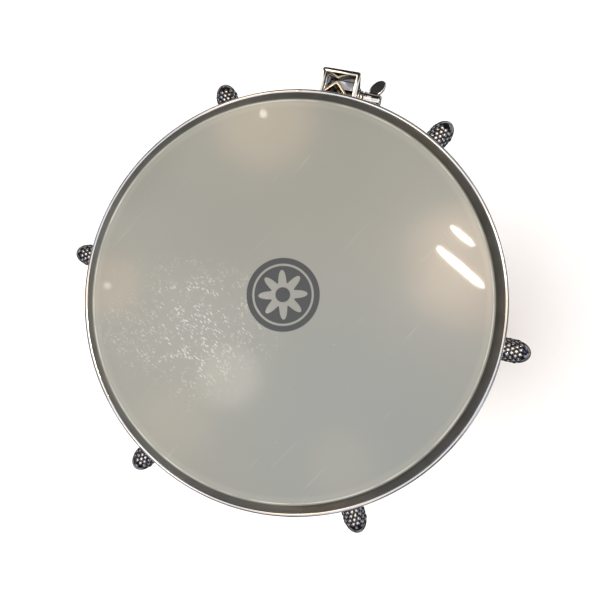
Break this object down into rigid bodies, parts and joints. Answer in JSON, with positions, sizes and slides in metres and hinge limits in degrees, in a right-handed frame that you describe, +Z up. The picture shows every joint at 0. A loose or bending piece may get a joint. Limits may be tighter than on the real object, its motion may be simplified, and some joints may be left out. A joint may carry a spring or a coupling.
{
  "type": "goblet drum",
  "caption": "Metal darbuka: goblet shell with a flared foot, film head under a chrome counter hoop, bullet-shaped tuning lugs, and a rod clamp with a wing nut.",
  "frame": {"origin": "on the drum's axis, on the floor that the foot stands on, which is the bottom centre of the box round the drum", "axes": "+Z up along the drum's axis, out of the playing surface; +X towards one tuning lug, with the rod clamp 29.4 degrees from it towards +Y"},
  "size_m": [0.295, 0.26, 0.47],
  "materials": {
    "shell_metal": "hammered and bright plated",
    "chrome": "polished chrome plate",
    "head_film": "smooth translucent film, lightly scratched",
    "flesh_aluminium": "dull rolled aluminium",
    "zinc_steel": "zinc plated",
    "rubber": "matte black"
  },
  "bodies": {
    "drum": {"shell_bowl": "shell_metal", "shell_foot": "shell_metal", "neck_ring": "chrome", "foot_ring": "rubber", "head_film": "head_film", "bracket_body": "chrome", "bracket_pad": "rubber", "clamp_block": "chrome", "clamp_washer": "zinc_steel", "clamp_spring_washer": "zinc_steel", "bracket_screw_upper": "zinc_steel", "bracket_screw_lower": "zinc_steel", "bracket_washer_upper": "zinc_steel", "bracket_washer_lower": "zinc_steel", "lug_1": "chrome", "lug_screw_1": "zinc_steel", "lug_washer_1": "zinc_steel", "bolt_washer_1": "zinc_steel", "lug_2": "chrome", "lug_screw_2": "zinc_steel", "lug_washer_2": "zinc_steel", "bolt_washer_2": "zinc_steel", "lug_3": "chrome", "lug_screw_3": "zinc_steel", "lug_washer_3": "zinc_steel", "bolt_washer_3": "zinc_steel", "lug_4": "chrome", "lug_screw_4": "zinc_steel", "lug_washer_4": "zinc_steel", "bolt_washer_4": "zinc_steel", "lug_5": "chrome", "lug_screw_5": "zinc_steel", "lug_washer_5": "zinc_steel", "bolt_washer_5": "zinc_steel", "lug_6": "chrome", "lug_screw_6": "zinc_steel", "lug_washer_6": "zinc_steel", "bolt_washer_6": "zinc_steel"},
    "tuning_hoop": {"counter_hoop": "chrome", "flesh_hoop": "flesh_aluminium"},
    "bolt_1": {"tuning_bolt_1": "zinc_steel"},
    "bolt_2": {"tuning_bolt_2": "zinc_steel"},
    "bolt_3": {"tuning_bolt_3": "zinc_steel"},
    "bolt_4": {"tuning_bolt_4": "zinc_steel"},
    "bolt_5": {"tuning_bolt_5": "zinc_steel"},
    "bolt_6": {"tuning_bolt_6": "zinc_steel"},
    "wing_nut": {"clamp_wing_nut": "chrome"},
    "eyebolt": {"clamp_eyebolt": "chrome"}
  },
  "joints": [
    {"name": "hoop_travel", "type": "slide", "parent": "drum", "child": "tuning_hoop", "axis": [0, 0, 1], "range_m": [-0.003, 0.0015]},
    {"name": "tuning_bolt_1_turn", "type": "hinge", "parent": "drum", "child": "bolt_1", "pos_m": [0.1249, 0, 0.4323], "axis": [0, 0, 1], "range_deg": [-676, 1351]},
    {"name": "tuning_bolt_2_turn", "type": "hinge", "parent": "drum", "child": "bolt_2", "pos_m": [0.06245, 0.10817, 0.4323], "axis": [0, 0, 1], "range_deg": [-676, 1351]},
    {"name": "tuning_bolt_3_turn", "type": "hinge", "parent": "drum", "child": "bolt_3", "pos_m": [-0.06245, 0.10817, 0.4323], "axis": [0, 0, 1], "range_deg": [-676, 1351]},
    {"name": "tuning_bolt_4_turn", "type": "hinge", "parent": "drum", "child": "bolt_4", "pos_m": [-0.1249, 0, 0.4323], "axis": [0, 0, 1], "range_deg": [-676, 1351]},
    {"name": "tuning_bolt_5_turn", "type": "hinge", "parent": "drum", "child": "bolt_5", "pos_m": [-0.06245, -0.10817, 0.4323], "axis": [0, 0, 1], "range_deg": [-676, 1351]},
    {"name": "tuning_bolt_6_turn", "type": "hinge", "parent": "drum", "child": "bolt_6", "pos_m": [0.06245, -0.10817, 0.4323], "axis": [0, 0, 1], "range_deg": [-676, 1351]},
    {"name": "wing_nut_turn", "type": "hinge", "parent": "drum", "child": "wing_nut", "pos_m": [0.11515, 0.06718, 0.446], "axis": [0.4909, -0.8712, 0], "range_deg": [0, 1170]},
    {"name": "eyebolt_travel", "type": "slide", "parent": "drum", "child": "eyebolt", "axis": [0.4909, -0.8712, 0], "range_m": [-0.0033, 0.00001]}
  ],
  "couplings": [
    {"joint": "tuning_bolt_1_turn", "follows": "hoop_travel", "rad_per_m": -7854},
    {"joint": "tuning_bolt_2_turn", "follows": "hoop_travel", "rad_per_m": -7854},
    {"joint": "tuning_bolt_3_turn", "follows": "hoop_travel", "rad_per_m": -7854},
    {"joint": "tuning_bolt_4_turn", "follows": "hoop_travel", "rad_per_m": -7854},
    {"joint": "tuning_bolt_5_turn", "follows": "hoop_travel", "rad_per_m": -7854},
    {"joint": "tuning_bolt_6_turn", "follows": "hoop_travel", "rad_per_m": -7854},
    {"joint": "eyebolt_travel", "follows": "wing_nut_turn", "m_per_rad": -0.00015915}
  ]
}
